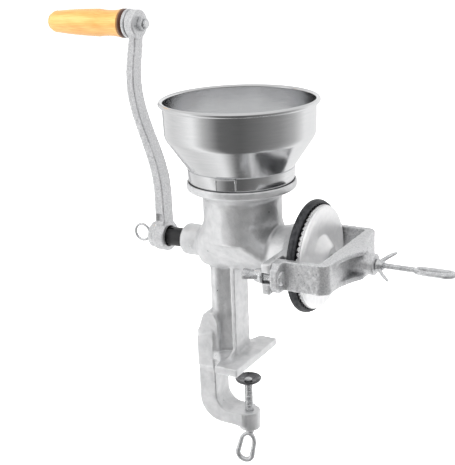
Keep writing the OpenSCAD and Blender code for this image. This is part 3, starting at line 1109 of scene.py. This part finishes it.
@dataclass
class Hopper:
    """The sheet hopper: a spun bowl with a curled lip, and a lapped collar that sits in the cup."""

    sheet: float = 0.9
    curl: float = 1.65
    neck_radius: float = 43.4
    cone_foot: float = 9.2
    cone_top: float = 39.4
    seam_angle: float = -67.5
    lap: float = 21.0
    collar_sheet: float = 0.8
    bead_radius: float = 0.75

    def bowl(self) -> None:
        """Makes the bowl."""
        low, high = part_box("hopper_bowl")
        top, outer, foot = high.z / MM, high.x / MM, low.z / MM
        half = self.sheet / 2
        centre = (outer - half - self.curl, top - half - self.curl)
        wall = centre[0] - self.curl
        cone_foot, cone_top = foot + self.cone_foot, foot + self.cone_top
        neck = self.neck_radius - half
        corners = [(neck, foot), (neck, cone_foot, 2.5), (wall - 0.7, cone_top, 3.5), (wall, centre[1] - 1.0)]
        path = rounded(corners, 10)
        path += arc(centre, self.curl, 180, -70, 18)
        piece("spun_bowl", "hopper_bowl", lathe(sheet_outline(path, self.sheet), 160))

    def bead(self, path: Sequence[tuple[float, float, float]], radius: float) -> Mesh:
        """Lays a round bead along a path.

        Args:
            path: Points (r, degrees, h) of the bead's middle, in millimetres and degrees.
            radius: The bead's radius in millimetres.

        Returns:
            The closed bead, in metres.
        """
        line = [Vector((r * math.cos(math.radians(a)), r * math.sin(math.radians(a)), h)) for r, a, h in path]
        sides = 10
        rings = []
        for i, point in enumerate(line):
            tangent = (line[min(i + 1, len(line) - 1)] - line[max(i - 1, 0)]).normalized()
            out = Vector((point.x, point.y, 0.0)).normalized()
            across = tangent.cross(out).normalized()
            ring = []
            for k in range(sides):
                angle = math.tau * k / sides
                ring.append(tuple((point + (out * math.cos(angle) + across * math.sin(angle)) * radius) * MM))
            rings.append(ring)
        return grid_mesh(rings)

    def strip(self, levels: Sequence[Point], thickness: float, start: float, sweep: float) -> Mesh:
        """Rolls a strip of sheet part of the way round the hopper's axis.

        Args:
            levels: Points (r, h) of the sheet's middle line, in millimetres.
            thickness: The sheet's thickness.
            start: The angle of its first edge, in degrees.
            sweep: How far round it goes.

        Returns:
            The closed strip, in metres.
        """
        steps = max(4, round(abs(sweep) / 2.2))
        outline = sheet_outline(levels, thickness)
        rings = []
        for k in range(steps + 1):
            angle = math.radians(start + sweep * k / steps)
            c, s = math.cos(angle) * MM, math.sin(angle) * MM
            rings.append([(r * c, r * s, h * MM) for r, h in outline])
        return grid_mesh(rings)

    def collar(self) -> None:
        """Makes the collar: a strip rolled round, its outer end lapped over and spot welded at the seam."""
        low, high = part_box("hopper_collar")
        foot, top, outer = low.z / MM, high.z / MM, high.x / MM
        skin = outer - 0.75 - self.collar_sheet / 2
        bend = foot + 4.6
        levels = [(skin - 1.35, foot), (skin - 1.3, foot + 3.6), (skin - 0.75, bend)]
        levels += [(skin, top - 0.4), (skin + 0.05, top)]
        parts = [self.strip(levels, self.collar_sheet, self.seam_angle + 0.6, 358.8)]
        out = self.collar_sheet / 2 + 0.2
        lap_foot, lap_top = foot + 4.3, top - 1.0
        lean = 0.75 / (top - bend)
        heights = (lap_foot, (lap_foot + lap_top) / 2, lap_top)
        lap = [(skin - 0.75 + out + lean * (h - bend), h) for h in heights]
        parts.append(self.strip(lap, 0.5, self.seam_angle, -self.lap))
        low_r, high_r = lap[0][0] + 0.15, lap[-1][0] + 0.15
        ends = (self.seam_angle, self.seam_angle - self.lap)
        for degrees, radius in zip(ends, (self.bead_radius, self.bead_radius * 0.7)):
            parts.append(self.bead([(low_r, degrees, lap_foot), (high_r, degrees, lap_top)], radius))
        angles = [ends[0] + (ends[1] - ends[0]) * k / 10 for k in range(11)]
        parts.append(self.bead([(high_r, a, lap_top) for a in angles], self.bead_radius * 0.75))
        for degrees in ends:
            dot = lathe([(0.0, -0.4), (0.9, -0.3), (1.1, 0.2), (0.7, 0.6), (0.0, 0.7)], 20)
            height = (lap_top - 1.6) * MM
            place = turn("Z", degrees) @ shift(x=(lap[-1][0] + 0.1) * MM, z=height) @ turn("Y", 90)
            parts.append(moved(dot, place))
        piece("lapped_collar", "hopper_collar", merged(parts), angle=40)

    def build(self) -> None:
        """Makes the hopper's pieces."""
        self.bowl()
        self.collar()


@dataclass
class Burrs:
    """The two grinding discs, the dished carrier and their fasteners."""

    shaft_bore: float = 18.0
    tooth_length: float = 11.0
    tooth_height: float = 1.5
    slant: float = 0.22
    teeth: int = 60
    rim_teeth: int = 120

    def toothed(self, slot: Slot, outer: float, slant: float, height: float) -> Mesh:
        """A ring of burr teeth.

        Args:
            slot: The teeth's finish.
            outer: Their outer radius in millimetres.
            slant: Their slant in radians.
            height: The height of their middle in millimetres.

        Returns:
            The teeth, round Z.
        """
        radius = outer - self.tooth_length / 2 - 0.4
        ring = TEETH.grow(
            slot, Count=self.teeth, Radius=radius * MM, Length=self.tooth_length * MM,
            Width=outer * 0.045 * MM, Height=self.tooth_height * MM, Slant=slant,
        )
        return moved(ring, shift(z=height * MM))

    def stationary(self) -> None:
        """Makes the stationary burr, with a grooved rim and slanting teeth on its face."""
        box = Box("stationary_burr")
        thick, outer, bore = box.length, box.radius, self.shaft_bore
        face = thick - 1.3
        disc = turned([
            (bore, 0.6), (bore + 0.6, 0.0), (outer - 0.5, 0.0, 0.8), (outer, 1.4, 0.5),
            (outer, face - 1.2, 0.4), (outer - 0.9, face, 0.4), (outer - 1.2, thick, 0.3),
            (outer - 3.0, thick, 0.3), (outer - 3.4, face, 0.2), (30.0, face), (26.0, face - 1.2),
            (bore, face - 1.2),
        ], 4, 144)
        teeth = self.toothed(Slot.DARK, outer - 1.2, self.slant, thick - 0.8)
        shaft_piece("stationary_burr_disc", "stationary_burr", merged([disc, teeth]))

    def rotating(self) -> None:
        """Makes the rotating burr, with teeth towards the stationary one and a notched rim."""
        box = Box("rotating_burr")
        thick, outer, bore = box.length, box.radius, self.shaft_bore
        disc = turned([
            (bore, 1.3), (outer - 0.8, 1.3, 0.3), (outer - 0.8, thick - 0.6, 0.3),
            (outer - 1.4, thick, 0.3), (bore, thick),
        ], 4, 144)
        teeth = self.toothed(Slot.TURNED, outer - 0.2, -self.slant, 0.78)
        notches = TEETH.grow(
            Slot.TURNED, Count=self.rim_teeth, Radius=(outer - 0.9) * MM, Length=1.6 * MM,
            Width=1.15 * MM, Height=self.tooth_height * MM, Slant=0.1,
        )
        moved(notches, shift(z=(thick - 0.85) * MM))
        shaft_piece("rotating_burr_disc", "rotating_burr", merged([disc, teeth, notches]))

    def carrier(self) -> None:
        """Makes the dished carrier, with its cone hub and nose."""
        box = Box("burr_carrier")
        end, outer = box.high.x / MM - box.low.x / MM, box.radius
        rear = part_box("rotating_burr")[1].x / MM - box.low.x / MM
        dish = turned([
            (6.0, 0.0), (14.8, 0.0, 0.4), (14.8, rear, 0.3), (outer - 0.3, rear, 0.5),
            (outer, rear + 1.0, 0.6), (outer - 0.8, rear + 2.6, 1.0), (outer - 4.0, rear + 3.4, 3.0),
            (27.0, rear + 2.5, 7.0), (18.5, rear + 1.5, 3.0), (16.4, rear + 4.0, 2.4),
            (11.6, end - 1.6, 2.0), (8.8, end, 1.0), (4.2, end, 0.5), (3.2, end - 1.6),
            (3.2, end - 5.0), (6.0, end - 5.2),
        ], 6, 144)
        shaft_piece("dished_carrier", "burr_carrier", dish, angle=50)

    def fasteners(self) -> None:
        """Makes the screws and nuts that hold the discs."""
        for name, node, edge in (
            ("slotted_carrier_screws", "carrier_screws", 0.204),
            ("slotted_burr_screws", "burr_screws", 0.264),
            ("chamfered_burr_nuts", "burr_nuts", 0.35),
        ):
            piece(name, node, bevelled(cad_copy(node), edge))

    def build(self) -> None:
        """Makes the burrs' pieces."""
        self.stationary()
        self.rotating()
        self.carrier()
        self.fasteners()


@dataclass
class Drive:
    """The shaft's bush, and the crank arm with its washer and ring screw."""

    washer_rim: float = 1.1
    ring: float = 17.6
    wire: float = 1.3
    hub_hole: float = 10.5
    eye_hole: float = 5.5

    def spare_holes(self, points: np.ndarray) -> np.ndarray:
        """Points in the crank's two holes, which keep their size."""
        off_grip = off_line(points, middle("grip_washer").z / MM)
        return (off_line(points, SHAFT_MM) < self.hub_hole) | (off_grip < self.eye_hole)

    def outer_washer(self) -> None:
        """Makes the thick washer on the hub's end, domed towards its rim."""
        box = Box("crank_washer")
        outer, thick = box.radius, box.length
        dome = turned([
            (3.2, 0.4), (3.6, 0.0), (outer - 1.5, 0.0, 0.8), (outer, self.washer_rim, 0.9),
            (outer, thick, 0.6), (3.6, thick), (3.2, thick - 0.4),
        ], 5)
        shaft_piece("domed_crank_washer", "crank_washer", dome)

    def ring_screw(self) -> None:
        """Makes the ring screw that holds the crank on."""
        box = Box("crank_ring_screw")
        near = box.low.x / MM + self.ring
        ring = eye(self.wire, self.ring, self.ring, shift(near * MM, 0, SHAFT_Z) @ turn("Z", 180))
        shank = threaded(3.0, 1.0, box.high.x / MM - near + 1.5, along_x((near - 1.5) * MM))
        shoulder = moved(washer(4.4, 1.0, 2.2, 0.7), along_x(near * MM))
        piece("crank_ring_screw_thread", "crank_ring_screw", merged([ring, shank, shoulder]))

    def build(self) -> None:
        """Makes the drive's pieces."""
        piece("split_bush", "shaft_bush", bevelled(cad_copy("shaft_bush"), 0.5, 3))
        Casting(
            "crank_arm", voxel=0.8, fillet_steps=10, soften_steps=8, waviness=0.1, wave=3.5,
            spared=[self.spare_holes], look=ROUGH_CASTING,
        ).build("cast_crank_arm")
        self.outer_washer()
        self.ring_screw()


@dataclass
class Grip:
    """The turned wooden grip on its bolt."""

    bore: float = 4.1
    recess: float = 7.2
    recess_depth: float = 6.6
    belly_steps: int = 28
    thread: float = 14.5

    def wood(self) -> None:
        """Makes the grip: a flared collar, a slim neck, a long belly and a rounded end."""
        box = Box("wooden_grip")
        length, big = box.length, box.radius
        outline = rounded([
            (self.bore, 0.0), (big - 1.0, 0.0, 0.6), (big, 1.2, 0.8), (big, 3.0, 0.5),
            (big - 0.45, 3.4, 0.2), (big - 0.45, 4.2, 0.2), (big - 0.05, 4.6, 0.2),
        ], 4)
        for k in range(self.belly_steps + 1):
            t = k / self.belly_steps
            swell = math.sin(math.pi * min(t * 2.8, 1.0))
            outline.append((big - swell - 0.4 - 2.4 * t**3, 5.4 + (length - 13.4) * t))
        outline += arc((big - 8.8, length - 6), 6.0, 5, 90, 10)
        seat = length - self.recess_depth
        outline += [(self.recess, length), (self.recess, seat), (self.bore, seat)]
        place = along_x(box.high.x, z=middle("wooden_grip").z, way=-90)
        piece("turned_grip", "wooden_grip", moved(lathe(outline, 128), place), angle=40)

    def bolt(self) -> None:
        """Makes the bolt: a slotted head in the grip's end, a plain shank and a threaded end."""
        box, height = Box("grip_bolt"), middle("grip_bolt").z
        plain_end = box.length - 14
        shank = turned([
            (0.0, 0.9), (3.5, 0.5, 2.0), (6.4, 1.6, 0.9), (6.4, 3.0, 0.4), (4.0, 3.0),
            (4.0, plain_end), (0.0, plain_end),
        ], 5, 64)
        moved(shank, along_x(box.low.x, z=height))
        thread = threaded(4.0, 1.25, self.thread, along_x(box.high.x - self.thread * MM, z=height))
        piece("grip_bolt_thread", "grip_bolt", merged([shank, thread]))

    def build(self) -> None:
        """Makes the grip's pieces."""
        self.wood()
        self.bolt()
        box = Box("grip_washer")
        place = along_x(box.low.x, z=middle("grip_washer").z)
        piece("soft_grip_washer", "grip_washer", moved(washer(box.radius, 4.05, box.length, 0.7), place))
        piece("chamfered_grip_nut", "grip_nut", bevelled(cad_copy("grip_nut"), 0.5, 3))


@dataclass
class Yoke:
    """The yoke across the mouth, its bolts and wing nuts, and the adjusting screw."""

    eye_length: float = 36.0
    eye_width: float = 19.0
    gauge: float = 2.1
    eye_tilt: float = -96.0
    nut_tilt: float = 6.0
    lock_tilt: float = 42.0
    screw_hole: float = 4.5
    bolt_hole: float = 5.5

    def spare_holes(self, points: np.ndarray) -> np.ndarray:
        """Points in the yoke's screw and bolt holes, which keep their size."""
        off_bolts = off_line(points, SHAFT_MM, middle("back_yoke_bolt").y / MM)
        return (off_line(points, SHAFT_MM) < self.screw_hole) | (off_bolts < self.bolt_hole)

    def bolts(self) -> None:
        """Makes the two long bolts: a domed head, a plain neck and a threaded tail."""
        for node in ("front_yoke_bolt", "back_yoke_bolt"):
            box, centre = Box(node), middle(node)
            wide = box.radius
            neck = turned([
                (0.0, 0.0), (wide - 2.5, 0.1, 1.5), (wide, 1.4, 1.0), (wide, 2.8, 0.2), (4.0, 2.8),
                (4.0, 12.0), (0.0, 12.0),
            ], 5, 64)
            moved(neck, along_x(box.high.x, centre.y, centre.z, way=-90))
            tail = threaded(4.0, 1.25, box.length - 11.0, along_x(box.low.x, centre.y, centre.z))
            piece(node + "_thread", node, merged([neck, tail]))

    def nuts(self) -> None:
        """Makes the wing nuts of the bolts and of the adjusting screw."""
        for node in ("front_wing_nut", "back_wing_nut"):
            box = Box(node)
            bolt = middle(node.replace("wing_nut", "yoke_bolt"))
            place = shift(box.high.x, bolt.y, bolt.z) @ turn("Y", 180) @ turn("X", self.nut_tilt)
            span = (box.high.y - box.low.y) / 2 / MM
            nut = WingNut(hub=6.5, tall=8.0, span=span, reach=box.length, bore=4.0)
            piece("stamped_" + node, node, nut.build(place))
        place = shift(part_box("lock_wing_nut")[0].x, 0, SHAFT_Z) @ turn("X", self.lock_tilt)
        nut = WingNut(hub=5.0, tall=6.0, span=13.5, reach=17.0, bore=2.5)
        piece("stamped_lock_wing_nut", "lock_wing_nut", nut.build(place))

    def adjuster(self) -> None:
        """Makes the adjusting screw with its long eye, and the cap on its end."""
        box = Box("adjusting_screw")
        near = box.high.x / MM - self.eye_length
        place = shift(near * MM, 0, SHAFT_Z) @ turn("X", self.eye_tilt)
        ring = eye(self.gauge, self.eye_length, self.eye_width, place, neck=0.25)
        rod = threaded(2.5, 1.0, near - box.low.x / MM + 1.5, along_x(box.low.x))
        piece("adjusting_screw_thread", "adjusting_screw", merged([ring, rod]))
        box = Box("thrust_cap")
        outer, tall = box.radius, box.length
        cap = turned([
            (0.0, 0.0), (4.6, 0.0, 0.5), (outer, 1.6, 0.8), (outer, tall - 0.6, 0.5),
            (outer - 0.6, tall), (0.0, tall),
        ], 4, 64)
        shaft_piece("turned_thrust_cap", "thrust_cap", cap)

    def build(self) -> None:
        """Makes the yoke's pieces."""
        Casting(
            "yoke", voxel=0.85, fillet_steps=14, soften_steps=8, waviness=0.2, wave=2.8,
            spared=[self.spare_holes], look=ROUGH_CASTING,
        ).build("cast_yoke")
        self.bolts()
        self.nuts()
        self.adjuster()


@dataclass
class Clamp:
    """The clamp screw with its eye, the swivel pad and the rivet that holds it."""

    radius: float = 3.8
    pitch: float = 1.25
    gauge: float = 2.5
    eye_length: float = 34.0
    eye_width: float = 19.0
    drop: float = 5.0
    lean: float = 104.0

    def screw(self) -> None:
        """Makes the clamp screw."""
        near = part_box("body_casting")[0].z - self.drop * MM
        place = shift(z=near) @ turn("Y", self.lean) @ turn("X", -8)
        ring = eye(self.gauge, self.eye_length, self.eye_width, place, neck=0.45)
        top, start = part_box("clamp_pad")[0].z - 0.4 * MM, near - 1.0 * MM
        rod = threaded(self.radius, self.pitch, (top - start) / MM, shift(z=start))
        tall = (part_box("clamp_screw")[1].z - top) / MM
        pin = moved(lathe([(0.0, 0.0), (2.35, 0.0), (2.35, tall), (0.0, tall)], 32), shift(z=top))
        piece("clamp_screw_thread", "clamp_screw", merged([ring, rod, pin]))

    def pad(self) -> None:
        """Makes the dished pad and its rivet."""
        box = Box("clamp_pad")
        outer, tall = box.length / 2, box.tall
        dish = turned([
            (2.45, 0.0), (5.6, 0.0, 1.0), (6.6, 0.8, 1.0), (11.0, tall - 2.6, 1.6), (outer, tall - 0.6, 0.6),
            (outer - 0.4, tall, 0.4), (outer - 1.2, tall - 0.3, 0.4), (8.6, tall - 2.0, 2.0),
            (5.6, tall - 2.8, 1.0), (2.45, tall - 3.0),
        ], 6)
        piece("dished_clamp_pad", "clamp_pad", moved(dish, shift(z=box.low.z)), angle=50)
        box = Box("pad_rivet")
        outer, tall = box.length / 2, box.tall
        dome = turned([
            (0.0, 0.0), (outer, 0.0, 0.2), (outer, 0.5, 0.4), (outer * 0.55, tall, 0.6), (0.0, tall - 0.3),
        ], 5, 48)
        piece("domed_pad_rivet", "pad_rivet", moved(dome, shift(z=box.low.z)))

    def build(self) -> None:
        """Makes the clamp's pieces."""
        self.screw()
        self.pad()


# ---------------------------------------------------------------- studio


LAMPS = (
    ("key", (-1.1, -0.9, 0.9), 0.9, 30),
    ("top", (0.0, -0.3, 1.6), 1.4, 26),
    ("side", (1.4, 0.2, 0.6), 0.8, 6),
)
WALLS = (
    (0.0, "DCDCDC"), (0.06, "E8E8E8"), (0.12, "FFFFFF"), (0.17, "C0C0C0"), (0.24, "686868"), (0.33, "5E5E5E"),
    (0.41, "747474"), (0.50, "909090"), (0.57, "B8B8B8"), (0.64, "F6F6F6"), (0.86, "F4F4F4"), (1.0, "DCDCDC"),
)


@dataclass
class Studio:
    """The camera, the pale floor and the soft light."""

    eye_point: tuple[float, float, float] = (0.4128, -0.7515, 0.3951)
    azimuth: float = 29.7
    elevation: float = 17.8
    roll: float = -2.2
    lens: float = 80.8
    reflected: float = 1.0
    fill: float = 0.35
    backdrop: float = 1.05
    floor_size: float = 6.0
    floor_glow: float = 0.9

    def camera(self) -> None:
        """Places the camera."""
        around, up = math.radians(self.azimuth), math.radians(self.elevation)
        back = Vector((math.sin(around) * math.cos(up), -math.cos(around) * math.cos(up), math.sin(up)))
        right = Vector((math.cos(around), math.sin(around), 0.0))
        above = back.cross(right)
        c, s = math.cos(math.radians(self.roll)), math.sin(math.radians(self.roll))
        axes = (right * c + above * s, above * c - right * s, back)
        data = bpy.data.cameras.new("camera")
        data.lens = self.lens
        data.sensor_width = 36
        data.clip_start = 0.01
        thing = placed("camera", data)
        rows = [[axis[row] for axis in axes] + [self.eye_point[row]] for row in range(3)]
        thing.matrix_world = Matrix(rows + [[0, 0, 0, 1]])
        bpy.context.scene.camera = thing

    def floor(self) -> None:
        """Lays the floor just under the clamp's eye."""
        depth = CAD_BOX[0][2] - 0.0005
        size = self.floor_size
        mesh = bpy.data.meshes.new("floor")
        corners = [(-size, -size, depth), (size, -size, depth), (size, size, depth), (-size, size, depth)]
        mesh.from_pydata(corners, [], [(0, 1, 2, 3)])
        material = bpy.data.materials.new("pale_floor")
        material.use_nodes = True
        shader = material.node_tree.nodes["Principled BSDF"]
        white = linear("FFFFFF")
        for key, value in (("Base Color", white), ("Roughness", 0.9), ("Specular IOR Level", 0.1),
                ("Emission Color", white), ("Emission Strength", self.floor_glow)):
            shader.inputs[key].default_value = value
        mesh.materials.append(material)
        thing = placed("floor", mesh)
        thing.visible_glossy = False

    def surroundings(self) -> None:
        """Paints what the metal reflects: pale walls, a bright panel and a dimmer side behind the camera."""
        world = bpy.data.worlds.new("studio")
        bpy.context.scene.world = world
        world.use_nodes = True
        tree = world.node_tree
        tree.nodes.clear()
        way = add(tree, "ShaderNodeTexCoord").outputs["Generated"]
        parts = add(tree, "ShaderNodeSeparateXYZ", {"Vector": way})
        values = {0: parts.outputs["Y"], 1: parts.outputs["X"]}
        around = add(tree, "ShaderNodeMath", values, operation="ARCTAN2").outputs[0]
        values = {"Value": around, "From Min": -math.pi, "From Max": math.pi}
        place = add(tree, "ShaderNodeMapRange", values).outputs["Result"]
        walls = ramp(tree, place, WALLS)
        values = {"Value": parts.outputs["Z"], "From Min": 0.2, "From Max": 0.62}
        lift = add(tree, "ShaderNodeMapRange", values).outputs["Result"]
        shown = mixed_colour(tree, lift, walls, "D8D8D8")
        light = add(tree, "ShaderNodeLightPath")
        reflected = add(tree, "ShaderNodeBackground", {"Color": shown, "Strength": self.reflected})
        fill = add(tree, "ShaderNodeBackground", {"Color": linear("FFFFFF"), "Strength": self.fill})
        backdrop = add(tree, "ShaderNodeBackground", {"Color": linear("FFFFFF"), "Strength": self.backdrop})
        scattered = light.outputs["Is Diffuse Ray"]
        soft = add(tree, "ShaderNodeMixShader", {0: scattered, 1: reflected.outputs[0], 2: fill.outputs[0]})
        values = {0: light.outputs["Is Camera Ray"], 1: soft.outputs[0], 2: backdrop.outputs[0]}
        mixed = add(tree, "ShaderNodeMixShader", values)
        add(tree, "ShaderNodeOutputWorld", {"Surface": mixed.outputs[0]})

    def lamp(self, name: str, place: tuple[float, float, float], size: float, power: float) -> None:
        """Hangs one soft square lamp that faces the mill.

        Args:
            name: Its name.
            place: Where it hangs, in metres.
            size: Its side.
            power: Its power in watts.
        """
        data = bpy.data.lights.new(name, "AREA")
        data.size = size
        data.energy = power
        thing = placed(name, data)
        aim = Vector((0.0, 0.0, 0.12)) - Vector(place)
        thing.visible_glossy = False
        thing.matrix_world = Matrix.Translation(place) @ aim.to_track_quat("-Z", "Y").to_matrix().to_4x4()

    def build(self) -> None:
        """Sets up the studio."""
        self.camera()
        self.floor()
        self.surroundings()
        for name, place, size, power in LAMPS:
            self.lamp(name, place, size, power)
        bpy.context.scene.view_settings.view_transform = "Standard"


def dress_kept_nodes() -> None:
    """Gives the CAD nodes that are kept as they are their finishes."""
    for node in ("feed_worm_shaft", "drive_pin", "thrust_ball"):
        thing = frame["nodes"][node]
        thing.data.materials.clear()
        thing.data.materials.append(MATERIALS[NODE_SLOT[node]])
        LOG.info("%-24s %7d faces  kept on %s", node, len(thing.data.polygons), NODE_BODY[node])


def main() -> None:
    """Builds the studio and each sub-assembly."""
    Studio().build()
    for part in (Body(), Hopper(), Burrs(), Drive(), Grip(), Yoke(), Clamp()):
        LOG.info("-- %s", type(part).__name__)
        part.build()
    dress_kept_nodes()


if __name__ == "__main__":
    main()
